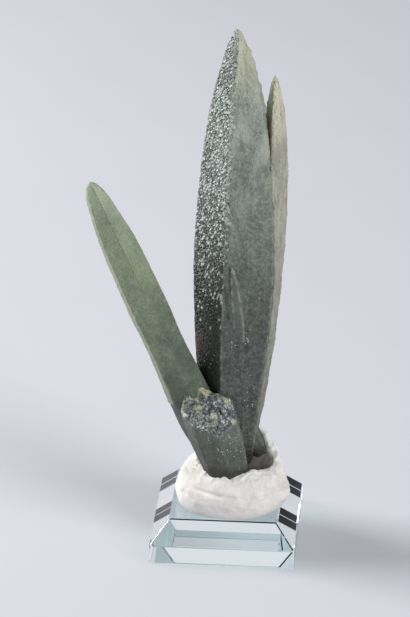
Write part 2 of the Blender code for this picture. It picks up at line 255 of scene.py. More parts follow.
# Painted shade at the crystals' feet, where they sink into the putty
ROOT_SHADE = linear(40, 36, 30)
PUTTY_SPECK = linear(150, 142, 130)
# Painted shade on the putty's inner slope
PUTTY_INNER_SHADE = linear(58, 50, 40)


# Shape helpers

def climb(values, low, high):
    """The share, from 0 to 1, of the way that values have come from low to high."""
    return np.clip((values - low) / (high - low), 0, 1)


def smooth(points, x):
    """Values at x, an array, of a smooth curve through (x, value) points."""
    xs = np.array([p[0] for p in points], float)
    ys = np.array([p[1] for p in points], float)
    x = np.clip(np.asarray(x, float), xs[0], xs[-1])
    i = np.clip(np.searchsorted(xs, x, side="left") - 1, 0, len(xs) - 2)
    before, after = np.maximum(i - 1, 0), np.minimum(i + 2, len(xs) - 1)
    x0, x1, y0, y1 = xs[i], xs[i + 1], ys[i], ys[i + 1]
    slope0 = (y1 - ys[before]) / np.maximum(x1 - xs[before], 1e-9)
    slope1 = (ys[after] - y0) / np.maximum(xs[after] - x0, 1e-9)
    step = x1 - x0
    s = (x - x0) / step
    return ((2 * s**3 - 3 * s**2 + 1) * y0 + (s**3 - 2 * s**2 + s) * step * slope0
            + (3 * s**2 - 2 * s**3) * y1 + (s**3 - s**2) * step * slope1)


def round_the_compass(values, angle):
    """Smooth periodic values at angles, from one value for each of eight directions."""
    values = np.asarray(values, float)
    place = np.asarray(angle) / (2 * math.pi) * len(values)
    i = np.floor(place).astype(int)
    s = place - i
    v0, v1, v2, v3 = (values[(i + k) % len(values)] for k in (-1, 0, 1, 2))
    return 0.5 * (2 * v1 + (v2 - v0) * s + (2 * v0 - 5 * v1 + 4 * v2 - v3) * s**2
                  + (3 * v1 - v0 - 3 * v2 + v3) * s**3)


def noise_at(points, size, seed=0.0):
    """Smooth noise, about -1 to 1, at an array of points. Size may differ along the axes."""
    scaled = np.asarray(points, float).reshape(-1, 3) / np.asarray(size) + seed
    values = np.fromiter((noise.noise(Vector(p)) for p in scaled), float, len(scaled))
    return values.reshape(np.asarray(points).shape[:-1])


def scatter(i, j, seed):
    """A fixed random number from 0 to 1 for each pair of whole numbers."""
    mixed = (i.astype(np.int64) * 73856093) ^ (j.astype(np.int64) * 19349663)
    mixed = (mixed ^ int(seed * 8349.27)) & 0xFFFFFFFF
    mixed = ((mixed ^ (mixed >> 15)) * 0x2C1B3C6D) & 0xFFFFFFFF
    mixed = ((mixed ^ (mixed >> 12)) * 0x297A2D39) & 0xFFFFFFFF
    return ((mixed ^ (mixed >> 15)) & 0xFFFFFFFF) / 0xFFFFFFFF


def cells(across, along, size, seed, stretch=1.0):
    """For each point, how far it lies from the middle of its grain, and the grain's own
    three random numbers. The grains are about size wide and stretch times as long."""
    u, v = across / size, along / (size * stretch)
    best, found = np.full(u.shape, 1e9), np.zeros((5, *u.shape))
    for du in (-1, 0, 1):
        for dv in (-1, 0, 1):
            i, j = np.floor(u) + du, np.floor(v) + dv
            luck = [scatter(i, j, seed + step) for step in (0.0, 1.3, 2.7, 4.1, 5.9)]
            off_u = u - (i + 0.5 + 0.8 * (luck[0] - 0.5))
            off_v = v - (j + 0.5 + 0.8 * (luck[1] - 0.5))
            gap = off_u ** 2 + off_v ** 2
            found = np.where(gap < best, np.stack([off_u, off_v, *luck[2:]]), found)
            best = np.minimum(gap, best)
    return found[0] * size, found[1] * size * stretch, *found[2:]


class Prism:
    """The surface of one crystal as a grid: rows along it and lanes round it."""

    def __init__(self, form):
        self.form = form
        self.foot, self.tip = np.array(form["foot"], float), np.array(form["tip"], float)
        self.section = np.array(form["section"], float)
        self.foot_section = np.array(form.get("foot_section", form["section"]), float)
        self.length = float(np.linalg.norm(self.tip - self.foot))
        self.along = (self.tip - self.foot) / self.length
        side = np.array([1.0, 0.0, 0.0])
        side -= self.along * side.dot(self.along)
        self.across = side / np.linalg.norm(side)
        self.away = np.cross(self.along, self.across)

    def wander(self, shares, lane, seed):
        """The slow wander of one edge along the crystal."""
        return np.array([
            noise.noise(Vector((s * self.length / WAVE_LENGTH, seed * 3.7 + lane * 1.9, seed)))
            for s in shares])

    def corners(self, shares):
        """Where each edge crosses the sections at the given shares: rows, edges, x and y."""
        blend = np.clip(shares * FOOT_BLEND, 0, 1)[:, None, None]
        places = self.foot_section + (self.section - self.foot_section) * blend
        size = smooth(self.form["girth"], shares)
        places = places * size[:, None, None]
        seed, wave = self.form["seed"], FACE_WAVE * np.minimum(size, 1.0)
        for i in range(len(self.section)):
            places[:, i, 0] += wave * self.wander(shares, i, seed)
            places[:, i, 1] += wave * self.wander(shares, i, seed + 11.0)
        return places

    def points(self, shares, faces, steps):
        """Points at each row and lane, before any cut, and the width of each lane's face."""
        corners = self.corners(shares)
        start = corners[:, faces]
        end = corners[:, (faces + 1) % len(self.section)]
        flat = start + (end - start) * steps[None, :, None]
        sway = self.form.get("bow", 0.0) * 4 * shares * (1 - shares)
        axis = (self.foot + self.along * (self.length * shares)[:, None]
                + self.across * sway[:, None])
        places = axis[:, None, :] + flat[..., :1] * self.across + flat[..., 1:] * self.away
        return places, np.linalg.norm(end - start, axis=2)

    def reach_to(self, places, cut):
        """How far points lie short of a cutting plane, measured along the crystal."""
        place, normal = np.array(cut[0]), np.array(cut[1]) / np.linalg.norm(cut[1])
        return (place - places) @ normal / (self.along @ normal)


def break_bump(places, size, seed):
    """The main heights of a rough break, in millimetres."""
    flat = places * (1, 1, 0)
    coarse = noise_at(flat + (0, 0, seed * 2.6), 2.6)
    fine = noise_at(flat + (0, 0, (seed + 5.0) * 1.1), 1.1)
    return size * (coarse + 0.5 * fine)


def grid_normals(places):
    """Outward directions of a grid that closes round each row."""
    round_it = np.roll(places, -1, axis=1) - np.roll(places, 1, axis=1)
    up_it = np.gradient(places, axis=0)
    out = np.cross(round_it, up_it)
    return out / np.maximum(np.linalg.norm(out, axis=2, keepdims=True), 1e-9)


def lanes_of(form):
    """The face and the place across it of every lane, spaced as the form asks."""
    section = np.array(form["section"], float)
    faces, steps = [], []
    for i, start in enumerate(section):
        width = np.linalg.norm(section[(i + 1) % len(section)] - start)
        gap = form["druse_gap"] if i == form.get("druse_face", -1) else form["lane_gap"]
        count = max(3, round(width / gap))
        faces += [i] * count
        steps += [k / count for k in range(count)]
    return np.array(faces), np.array(steps)


def crystal_grid(form):
    """The plain surface of a crystal, with what the finer work needs to know about it."""
    shape = Prism(form)
    faces, steps = lanes_of(form)
    rows = int(shape.length / form["row_gap"])
    top_cut, foot_cut = form.get("top_cut"), form.get("foot_cut")
    shares = np.linspace(0, 1, rows + 1)
    if not top_cut:
        shares = 1 - (1 - np.arange(rows + 1) / (rows + 1)) ** ROW_CROWDING
    places, widths = shape.points(shares, faces, steps)
    if foot_cut:
        short = shape.reach_to(places[0], foot_cut)
        places += (short * (1 - shares[:, None]) ** FOOT_FADE)[..., None] * shape.along
    if top_cut:
        short = shape.reach_to(places[-1], top_cut)
        short = short + break_bump(places[-1], top_cut[2], form["seed"])
        places += (short * shares[:, None])[..., None] * shape.along
    return {
        "shape": shape, "places": places, "faces": faces, "steps": steps, "shares": shares,
        "across": steps * widths, "from_edge": np.minimum(steps, 1 - steps) * widths,
        "down": (shares * shape.length)[:, None] + np.zeros(len(faces)),
        "normals": grid_normals(places),
    }


def close_rings(rings, end, foot):
    """Vertices, quads and fans of the closed mesh over rings, with a point at each end."""
    count, lanes = rings.shape[:2]
    this = np.arange(lanes)
    after = (this + 1) % lanes
    low = np.arange(count - 1)[:, None] * lanes
    high = low + lanes
    quads = np.stack([low + this, low + after, high + after, high + this], axis=-1)
    last, total = (count - 1) * lanes, count * lanes
    fans = [np.stack([last + this, last + after, np.full(lanes, total)], axis=1),
            np.stack([after, this, np.full(lanes, total + 1)], axis=1)]
    vertices = np.concatenate([rings.reshape(-1, 3), [end, foot]])
    return vertices, quads.reshape(-1, 4), np.concatenate(fans)


def new_object(name, data):
    made = bpy.data.objects.new(name, data)
    bpy.context.scene.collection.objects.link(made)
    return made


def make_piece(name, vertices, quads, triangles, masks, material, turned=True):
    """A scene object from arrays in millimetres. Its masks are none at the two end points."""
    if turned:
        angle = math.radians(CLUSTER_TURN)
        turn = np.array([[math.cos(angle), -math.sin(angle), 0],
                         [math.sin(angle), math.cos(angle), 0], [0, 0, 1]])
        vertices = vertices @ turn.T
    mesh = bpy.data.meshes.new(name)
    mesh.from_pydata((vertices * MM).tolist(), [], quads.tolist() + triangles.tolist())
    mesh.shade_smooth()
    for key, values in masks.items():
        layer = mesh.attributes.new(key, "FLOAT", "POINT")
        layer.data.foreach_set("value", np.append(values, (0, 0)).astype(np.float32))
    mesh.materials.append(material)
    return new_object(name, mesh)


# Surface work on the crystals

def bell(distance, width):
    return np.exp(-(distance / width) ** 2)


def spot(places, centre, size, lean=0.0):
    """A soft mask round a centre, with a half size along each axis; it leans to the right."""
    off = places - np.array(centre, float)
    angle = math.radians(lean)
    x = off[..., 0] * math.cos(angle) - off[..., 2] * math.sin(angle)
    z = off[..., 0] * math.sin(angle) + off[..., 2] * math.cos(angle)
    gap = (x / size[0]) ** 2 + (off[..., 1] / size[1]) ** 2 + (z / size[2]) ** 2
    return np.exp(-gap * 1.4)


def druse_heights(grid, seed):
    """A crust of small crystals in parallel growth: each end slopes back up the face."""
    u, v = grid["across"], grid["down"]
    off_u, off_v, one, two, three = cells(u, v, DRUSE_CELL, seed, 1.25)
    slope = DRUSE_SLOPE * (0.65 + 0.7 * one)
    lean = (two - 0.5) * 0.9
    back = slope * (off_v + 0.42 * np.abs(off_u) + 0.30) + lean * off_u
    flat = (three - 0.5) * 0.12
    top = DRUSE_REACH * (0.6 + 0.6 * three)
    return np.minimum(top, DRUSE_REACH - np.maximum(back, 0)) + flat, two


def stripes_at(grid, size, stretch, seed):
    """Noise drawn out along a crystal."""
    drawn = np.stack([grid["across"], grid["down"] / stretch, grid["down"] * 0], axis=-1)
    return noise_at(drawn, size, seed)


def frost_heights(grid, seed, amount):
    """The sugary skin of a crystal face: fine grains, and faint stripes along it."""
    places = grid["places"]
    grains = 1.6 * noise_at(places, 0.95, seed) + 0.8 * noise_at(places, 0.5, seed + 8.0)
    stripes = stripes_at(grid, 0.8, 14.0, seed + 3.0)
    pits = np.maximum(noise_at(places, 1.3, seed + 5.0) - 0.25, 0)
    lumps = noise_at(places, (2.6, 2.6, 4.2), seed + 9.0)
    return amount * (SKIN_GRAINS * grains + SKIN_STRIPES * stripes + SKIN_LUMPS * lumps
                     - SKIN_PITS * pits)


def worn_edges(grid, seed):
    """Small chips along the edges of a crystal."""
    rough = noise_at(grid["places"], (1.4, 1.4, 2.2), seed + 13.0)
    depth = EDGE_WEAR + EDGE_CHIPS * np.maximum(rough, 0)
    return -bell(grid["from_edge"], WORN_EDGE_WIDTH) * depth


def sharpness(grid):
    """How sharp each lane's nearest edge is, from 0 for a shallow one to 1."""
    section = grid["shape"].section
    after = np.roll(section, -1, axis=0) - section
    after /= np.linalg.norm(after, axis=1)[:, None]
    turn = np.degrees(np.arccos(np.clip((after * np.roll(after, 1, axis=0)).sum(axis=1), -1, 1)))
    nearest = (grid["faces"] + (grid["steps"] > 0.5)) % len(section)
    return climb(turn, *SHARP_TURNS)[nearest]


def finish_crystal(name, detail, material):
    """Build one crystal: its grid, its fine surface by detail, and its closed mesh, with flat
    shading where small facets make it rough."""
    form = CRYSTALS[name]
    grid = crystal_grid(form)
    seed = form["seed"]
    taper = np.clip(smooth(form["girth"], grid["shares"]) / 0.25, 0, 1)[:, None]
    heights, masks = detail(grid, seed)
    heights = (heights + worn_edges(grid, seed)) * taper
    grid["places"] = grid["places"] + grid["normals"] * heights[..., None]
    edge = bell(grid["from_edge"], PALE_EDGE_WIDTH) * sharpness(grid)
    masks = {"edge": edge, **{key: np.zeros_like(edge) for key in MASKS}, **masks}
    cap = cap_of(form, grid)
    end = cap[-1].mean(axis=0) if len(cap) else grid["shape"].tip
    flat = {key: np.append(values, np.full(cap[..., 0].size, float(key == "broken")))
            for key, values in masks.items()}
    rings = np.concatenate([grid["places"], cap])
    vertices, quads, fans = close_rings(rings, end, rings[0].mean(axis=0))
    piece = make_piece(name, vertices, quads, fans, flat, material)
    first_corners = np.concatenate([quads[:, 0], fans[:, 0]])
    rough = (flat["druse"] + flat["broken"])[first_corners]
    piece.data.polygons.foreach_set("use_smooth", rough < 0.5)
    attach(piece, "root")
    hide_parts("prase_cluster")


def cap_of(form, grid):
    """Rings that carry a rough break from its rim to its middle: none where nothing broke."""
    rim = grid["places"][-1]
    cut = form.get("top_cut")
    if not cut:
        return np.empty((0, *rim.shape))
    centre = rim.mean(axis=0)
    count = int(np.linalg.norm(rim - centre, axis=1).mean() / form["lane_gap"])
    rings = []
    for k in range(1, count):
        share = k / count
        ring = rim + (centre - rim) * share
        bump = break_bump(ring, cut[2], form["seed"]) * min(1.0, 0.4 + share)
        off_u, off_v, one, two, three = cells(ring[:, 0], ring[:, 1] * 1.3, 1.25, form["seed"])
        facets = (one - 0.5) * 1.3 * off_u + (two - 0.5) * 1.3 * off_v + (three - 0.5) * 0.9
        fine = noise_at(ring, 0.6, 3.0) * 0.12
        rise = bump + (facets + fine) * min(1.0, share * 6)
        rings.append(ring + grid["shape"].along * rise[:, None])
    return np.array(rings)


def main_detail(grid, seed):
    """The main crystal: a druse on its left face, sugary faces, a slit and a druse patch."""
    places, faces = grid["places"], grid["faces"]
    level = places[..., 2]
    druse = np.broadcast_to(faces == 0, grid["across"].shape).astype(float)
    ragged = 0.9 + 1.1 * noise_at(places, 1.6, 51.0)
    spill = (faces == 1) * (grid["across"] < ragged) * (level > DRUSE_SPILLS)
    druse = np.maximum(druse, spill)
    inner = np.clip(grid["from_edge"] / 0.3, 0.3, 1)
    grown = np.maximum(climb(level, *DRUSE_GROWS), 0.22)
    crust, luck = druse_heights(grid, seed)
    heights = druse * inner * crust * grown
    # Painted highlight: a share of the druse's facets, growing with height, is painted pale as
    # glints
    glint = druse * (luck < smooth(GLINT_SHARE, level))
    upper = climb(level, *SWELLS_GROW)
    swells = noise_at(places, (3.4, 3.4, 2.6), 21.0) + 0.6 * noise_at(places, 1.5, 23.0)
    heights += (1 - druse) * (frost_heights(grid, seed, 1.0) + UPPER_SWELLS * upper * swells)
    lumps = np.maximum(noise_at(places, 0.9, 4.0) + 0.2, 0)
    heights += spot(places, *DRUSE_PATCH) * lumps * 1.1
    heights -= spot(places, *FRONT_SLIT) * 0.9 + spot(places, *FRONT_GROOVE) * 0.9
    stain = spot(places, *RUSTY_SPOT) * (noise_at(places, 1.1) > -0.1)
    haze = np.clip(noise_at(places, (3.0, 3.0, 7.0), 41.0) * 1.5 + 0.3, 0, 1) * upper
    return heights, {"druse": druse, "stain": stain, "glint": glint,
                     "bloom": haze * (1 - druse) * climb(level, *BLOOM_GROWS)}


def plain_detail(amount):
    """Sugary faces of a given strength, crushed for a little way below a break."""
    def detail(grid, seed):
        masks = {}
        if "top_cut" in grid["shape"].form:
            below = (1 - grid["shares"][:, None]) * grid["shape"].length
            ragged = 0.7 + 1.3 * noise_at(grid["places"], 1.2, 71.0)
            masks["broken"] = np.clip(ragged - below, 0, 1)
        return frost_heights(grid, seed, amount), masks
    return detail


def side_detail(grid, seed):
    """The side crystal: a rough skin, rusty in the groove that it shares with the main one."""
    places = grid["places"]
    heights = frost_heights(grid, seed, 1.5)
    groove = np.isin(grid["faces"], (0, 5)) * bell(places[..., 2] - RUST_HEIGHT, 18)
    outer = np.isin(grid["faces"], (2, 3)) * 0.35
    patchy = np.clip(0.6 + 0.9 * noise_at(places, (1.5, 1.5, 4.0), 17.0), 0, 1)
    return heights, {"stain": np.maximum(groove, outer) * patchy}


def lean_detail(grid, seed):
    """The leaning crystal: low growth ridges along it, a chip by its tip and a side notch."""
    places = grid["places"]
    level = places[..., 2]
    heights = frost_heights(grid, seed, 0.55)
    heights += GROWTH_RIDGES * stripes_at(grid, 2.1, 30.0, seed + 6.0)
    cracks = bell(np.sin(grid["down"] * 1.9 + 0.8 * noise_at(places, 6.0, 3.0)), 0.12)
    heights -= 0.05 * cracks * (noise_at(places, 4.0, 61.0) > 0)
    chip = spot(places, *PALE_CHIP)
    heights -= chip * 0.55 + spot(places, *LEAN_NOTCH) * 0.5
    smear = np.clip(0.75 + 0.5 * noise_at(places, 3.0, 31.0), 0, 1)
    # Painted shade: the far facets, turned from the left light, are painted darker downward, and
    # so is the foot
    shaded = np.isin(grid["faces"], (2, 3)) * climb(level, *LEAN_SHADE_GROWS) * smear
    return heights, {
        "broken": np.clip(chip * 1.6 - 0.5, 0, 1) * 0.6,
        "painted_shade": np.maximum(shaded, 0.6 * climb(level, *LEAN_FOOT_SHADE_GROWS)),
        # Painted light: the narrow left facet, facing the left light, is painted paler
        "bloom": (grid["faces"] == 0) * np.clip(0.5 + smear * 0.5, 0, 1),
    }


# Node helpers

def feed(tree, node, inputs):
    """Link or set a node's inputs. A colour is given by three values."""
    for key, value in inputs.items():
        socket = node.inputs[key]
        if isinstance(value, bpy.types.NodeSocket):
            tree.links.new(value, socket)
        else:
            socket.default_value = (*value, 1.0) if socket.type == "RGBA" else value


def add(tree, kind, inputs=None, output=0, **settings):
    """Add a shader node, set it up, link or set its inputs, and return one output."""
    made = tree.nodes.new("ShaderNode" + kind)
    for key, value in settings.items():
        setattr(made, key, value)
    feed(tree, made, inputs or {})
    return made.outputs[output]


def mix(tree, factor, a, b):
    """Mix two colours."""
    return add(tree, "Mix", {0: factor, 6: a, 7: b}, 2, data_type="RGBA")


def calc(tree, operation, a, b):
    return add(tree, "Math", {0: a, 1: b}, operation=operation)


def times(tree, product, *factors):
    """The product of values and masks."""
    for factor in factors:
        product = calc(tree, "MULTIPLY", product, factor)
    return product


def lay_coats(tree, base, coats):
    """Lay colours over a base, each by its mask and by what weakens the mask."""
    for colour, *mask in coats:
        base = mix(tree, times(tree, *mask), base, colour)
    return base


def remap(tree, value, low, high, to_low=0.0, to_high=1.0):
    """Map a value from one range to another, held at its ends."""
    return add(tree, "MapRange", {0: value, 1: low, 2: high, 3: to_low, 4: to_high})


def by_height(tree, height, levels, to_low=0.0, to_high=1.0):
    """Map a height between two levels in millimetres to a range."""
    return remap(tree, height, levels[0] * MM, levels[1] * MM, to_low, to_high)


def grain(tree, coords, size_mm, detail=2.0, roughness=0.55):
    """Noise whose features are about size_mm across, from 0 to 1."""
    return add(tree, "TexNoise", {"Vector": coords, "Scale": 1 / (size_mm * MM),
                                  "Detail": detail, "Roughness": roughness})


def shards_of(tree, coords, size_mm):
    """Angular grains about size_mm across, each with its own colour."""
    return add(tree, "TexVoronoi", {"Vector": coords, "Scale": 1 / (size_mm * MM)}, "Color")


def mask_of(tree, name):
    return add(tree, "Attribute", {}, "Fac", attribute_name=name)


def new_material(name):
    """A plain material: itself, its tree, its Principled BSDF and its object coordinates."""
    made = bpy.data.materials.new(name)
    made.use_nodes = True
    tree = made.node_tree
    return made, tree, tree.nodes["Principled BSDF"], add(tree, "TexCoord", {}, "Object")


def new_group(name, inputs, outputs):
    """A shader node group with its sockets, and the object coordinates in it."""
    group = bpy.data.node_groups.new(name, "ShaderNodeTree")
    for side, sockets in (("INPUT", inputs), ("OUTPUT", outputs)):
        for key, kind in sockets.items():
            group.interface.new_socket(key, in_out=side, socket_type="NodeSocket" + kind)
    given, out = group.nodes.new("NodeGroupInput"), group.nodes.new("NodeGroupOutput")
    return group, given.outputs, out, add(group, "TexCoord", {}, "Object")


def use_group(tree, group, inputs):
    """Place a group in a tree, and return its outputs by name."""
    made = tree.nodes.new("ShaderNodeGroup")
    made.node_tree = group
    feed(tree, made, inputs)
    return made.outputs


# Shared effects

def sugar_group():
    """The sugary skin of the quartz: a mottle that pales the green, and its fine relief."""
    if "Sugary Skin" in bpy.data.node_groups:
        return bpy.data.node_groups["Sugary Skin"]
    group, given, out, coords = new_group(
        "Sugary Skin", {"Coarse": "Float", "Fine": "Float"},
        {"Mottle": "Float", "Height": "Float"})
    clouds = grain(group, coords, 2.6, 3.0, 0.6)
    flecks = grain(group, coords, 1.0, 2.0, 0.75)
    specks = grain(group, coords, 0.5, 1.0, 0.5)
    soft = times(group, remap(group, clouds, 0.36, 0.66), given["Coarse"])
    sharp = times(group, remap(group, flecks, 0.42, 0.66), given["Fine"])
    feed(group, out, {
        "Mottle": calc(group, "ADD", soft, sharp),
        "Height": calc(group, "ADD", times(group, flecks, 0.6), times(group, specks, 0.4))})
    return group


def aging_group():
    """Cream on worn edges and brown in stained hollows, laid over a base colour."""
    if "Edges And Stains" in bpy.data.node_groups:
        return bpy.data.node_groups["Edges And Stains"]
    group, given, out, coords = new_group(
        "Edges And Stains",
        {"Base": "Color", "Edge Colour": "Color", "Edge Amount": "Float",
         "Stain Colour": "Color"}, {"Colour": "Color"})
    patchy = remap(group, grain(group, coords, 1.6, 3.0), 0.35, 0.65)
    edge = times(group, mask_of(group, "edge"), given["Edge Amount"], patchy)
    worn = mix(group, edge, given["Base"], given["Edge Colour"])
    feed(group, out, {
        "Colour": mix(group, mask_of(group, "stain"), worn, given["Stain Colour"])})
    return group


# Materials

def painted_glint_flecks(tree, coords, height, share):
    """A mask of small flecks, low on a crystal, painted pale as glints: a painted highlight."""
    chance = shards_of(tree, coords, GLINT_FLECK_SIZE)
    lucky = remap(tree, add(tree, "SeparateColor", {0: chance}, 1), 1 - share, 1 - share + 0.01)
    centre = remap(tree, chance.node.outputs["Distance"], 0.22, 0.4, 1.0, 0.0)
    patchy = remap(tree, grain(tree, coords, 7.0), 0.48, 0.56)
    return times(tree, lucky, centre, patchy, by_height(tree, height, GLINT_FLECKS_FADE, 0.8, 0.0))


def break_colour(tree, coords):
    """The crushed face of a break: pale and grey shards, darker hollows and cream patches."""
    shard = add(tree, "SeparateColor", {0: shards_of(tree, coords, SHARD_SIZE)}, 0)
    # The pale shards are partly painted glints, a painted highlight
    crushed = mix(tree, remap(tree, shard, 0.45, 0.95), SHARD_GREY, SHARD_WHITE_AND_GLINT)
    hollows = remap(tree, grain(tree, coords, 2.6, 3.0, 0.7), 0.44, 0.6)
    cream = remap(tree, grain(tree, coords, 3.4), 0.54, 0.66)
    return lay_coats(tree, crushed, [(BREAK_HOLLOW, hollows, 0.7), (BREAK_CREAM, cream, 0.7)])


def prase_material(name, low, high, levels, pale, tip, tip_level, looks, fleck_glint_share=0.0,
                   worn=0.22):
    """Green quartz whose colour goes from low to high between two heights, pale where its
    skin is sugary and cream towards its tip."""
    made, tree, shader, coords = new_material(name)
    height = add(tree, "SeparateXYZ", {0: coords}, 2)
    rise = by_height(tree, height, levels)
    skin = use_group(tree, sugar_group(), {"Coarse": 0.3, "Fine": 0.6})
    frost = times(tree, remap(tree, rise, 0.0, 1.0, 0.3, 1.0), looks.frost)
    drawn_out = add(tree, "Mapping", {"Vector": coords, "Scale": (1.0, 1.0, 0.3)})
    streaks = grain(tree, drawn_out, HAZE_SIZE, 4.0, 0.65)
    shade = remap(tree, grain(tree, coords, 9.0, 3.0, 0.6), 0.52, 0.7)
    near_tip = by_height(tree, height, (tip_level, tip_level + TIP_FADE))
    # The druse's colour, painted paler higher up: a painted sheen where its facets tilt up to the
    # light
    crust = mix(tree, by_height(tree, height, CRUST_SHEEN_GROWS), looks.druse_green,
                looks.druse_sheen)
    druse, broken = mask_of(tree, "druse"), mask_of(tree, "broken")
    body = lay_coats(tree, mix(tree, rise, low, high), [
        (pale, skin["Mottle"], frost),
        (pale, remap(tree, streaks, 0.44, 0.62), remap(tree, rise, 0.0, 1.0, 0.15, 1.0),
         looks.haze),
        (low, shade, 0.45),
        # Painted shade on the leaning crystal's far facets and foot
        (low, mask_of(tree, "painted_shade"), 0.6),
        # Pale bloom on the main crystal; painted light on the leaning crystal's left facet
        (pale, mask_of(tree, "bloom"), 0.55),
        (tip, near_tip, 0.75),
        (crust, druse, 0.9),
        # Painted highlights: pale glints painted on the druse's facets and on small flecks
        (looks.glint_colour, mask_of(tree, "glint"), 0.62),
        (looks.glint_colour, painted_glint_flecks(tree, coords, height, fleck_glint_share))])
    aged = use_group(tree, aging_group(), {
        "Base": body, "Edge Colour": looks.edge_colour, "Edge Amount": worn,
        "Stain Colour": looks.stain_colour})
    colour = lay_coats(tree, aged["Colour"], [
        (break_colour(tree, coords), broken),
        # Painted shade darkens the crystals' feet where they meet the putty
        (ROOT_SHADE, by_height(tree, height, ROOT_SHADE_FADES, 0.85, 0.0))])
    glossy = calc(tree, "MAXIMUM", druse, broken)
    bump = {"Height": skin["Height"], "Strength": 1.0, "Distance": 0.5 * MM}
    feed(tree, shader, {
        "Base Color": colour, "IOR": 1.54,
        "Roughness": remap(tree, glossy, 0.0, 1.0, looks.roughness, looks.facet_roughness),
        "Subsurface Weight": 0.12, "Subsurface Radius": (0.8, 1.0, 0.7),
        "Subsurface Scale": MM, "Normal": add(tree, "Bump", bump)})
    return made


def putty_material(looks):
    """Matte off-white putty with faint grey smears and a fine chalky grain."""
    made, tree, shader, coords = new_material("putty")
    smear = remap(tree, grain(tree, coords, 5.5, 3.0, 0.6), 0.40, 0.64)
    height = add(tree, "SeparateXYZ", {0: coords}, 2)
    specks = remap(tree, grain(tree, coords, 0.5, 1.0), 0.66, 0.74)
    colour = lay_coats(tree, looks.colour, [
        (looks.shade, smear, 0.55),
        # Painted shade: the lower slope is painted darker below a height
        (looks.shade, by_height(tree, height, PUTTY_SHADED, 0.5, 0.0)),
        (PUTTY_SPECK, specks, 0.25),
        # Painted shade on the inner slope, behind the crystals
        (PUTTY_INNER_SHADE, mask_of(tree, "grime"), 0.85)])
    fine = calc(tree, "ADD", grain(tree, coords, 0.4, 3.0, 0.7), grain(tree, coords, 1.4, 2.0))
    bump = {"Height": fine, "Strength": 0.5, "Distance": 0.15 * MM}
    feed(tree, shader, {
        "Base Color": colour, "Roughness": looks.roughness, "Subsurface Weight": 0.15,
        "Subsurface Radius": (1.0, 0.9, 0.8), "Subsurface Scale": MM,
        "Normal": add(tree, "Bump", bump)})
    return made


def glass_material(looks):
    """Clear polished glass with the faint aqua of its iron in the depth."""
    made, tree, shader, coords = new_material("clear_glass")
    handled = remap(tree, grain(tree, coords, 4.0, 3.0), 0.5, 0.75, 0.005, looks.smudge)
    feed(tree, shader, {"Base Color": (0.985, 0.995, 0.99), "Transmission Weight": 1.0,
                        "IOR": 1.52, "Roughness": handled})
    path = add(tree, "LightPath").node
    clear = add(tree, "BsdfTransparent", {"Color": looks.shadow_colour})
    surface = shader.outputs[0]
    for ray in ("Is Diffuse Ray", "Is Shadow Ray"):
        surface = add(tree, "MixShader", {0: path.outputs[ray], 1: surface, 2: clear})
    depth = add(tree, "VolumeAbsorption",
                {"Color": looks.depth_colour, "Density": looks.depth_density})
    feed(tree, tree.nodes["Material Output"], {"Surface": surface, "Volume": depth})
    return made


def floor_material(looks):
    """Pale matte studio paper with the faintest mottle."""
    made, tree, shader, coords = new_material("studio_paper")
    mottle = remap(tree, grain(tree, coords, 60.0, 2.0), 0.35, 0.65)
    darker = [value * 0.985 for value in looks.floor_colour]
    feed(tree, shader, {"Base Color": mix(tree, mottle, looks.floor_colour, darker),
                        "Roughness": 0.85, "Specular IOR Level": 0.2})
    return made


# Settings

def tint(name, description, default):
    """A colour setting."""
    return FloatVectorProperty(name=name, description=description, default=default,
                               subtype="COLOR")


def portion(name, description, default):
    """A setting from none to all."""
    return FloatProperty(name=name, description=description, default=default, min=0, max=1)


def gauge(name, description, default, subtype="NONE"):
    """A setting from none upward."""
    return FloatProperty(name=name, description=description, default=default, min=0,
                         subtype=subtype)


class CrystalLooks(bpy.types.PropertyGroup):
    """Colours and finish of the green quartz."""

    root_green: tint("Root Green", "Colour of the tall crystal near its root", linear(50, 57, 54))
    shaft_green: tint(
        "Shaft Green", "Colour of the tall crystal's upper half", linear(124, 136, 122))
    fresh_green: tint("Fresh Green", "Colour of the leaning crystal", linear(132, 151, 118))
    stub_green: tint("Stub Green", "Colour of the broken stub", linear(50, 60, 47))
    druse_green: tint(
        "Druse Green", "Dark green under the druse's bright facets", linear(30, 40, 24))
    # Painted sheen: the paler colour painted high on the druse, where its facets face the light
    druse_sheen: tint("Druse Grey", "Paler grey-green high on the druse", linear(148, 156, 148))
    # The colour of the painted glints, a painted highlight on facets and flecks
    glint_colour: tint(
        "Glint Colour", "Facets and flecks that catch the light", linear(214, 220, 216))
    bloom: tint("Bloom", "Pale bloom on the sugary skin", linear(184, 191, 178))
    tip_colour: tint("Tip Colour", "Cream of the tips", linear(214, 210, 180))
    edge_colour: tint("Edge Colour", "Pale worn edges", linear(172, 170, 152))
    stain_colour: tint("Stain Colour", "Rusty brown stains", linear(98, 78, 60))
    haze: portion("Haze", "Strength of the long pale streaks", 0.4)
    frost: portion("Frost", "Strength of the pale mottle", 0.8)
    roughness: portion("Skin Roughness", "Roughness of the sugary faces", 0.55)
    facet_roughness: portion("Facet Roughness", "Roughness of the small bright facets", 0.23)


class PuttyLooks(bpy.types.PropertyGroup):
    """Colours and finish of the putty."""

    colour: tint("Colour", "Off-white of the putty", linear(250, 248, 243))
    # Greyer, pinker colour of the smears; it also paints the shade on the lower slope
    shade: tint("Shade", "Greyer, pinker smears", linear(220, 210, 204))
    roughness: portion("Roughness", "Roughness of the putty", 0.8)


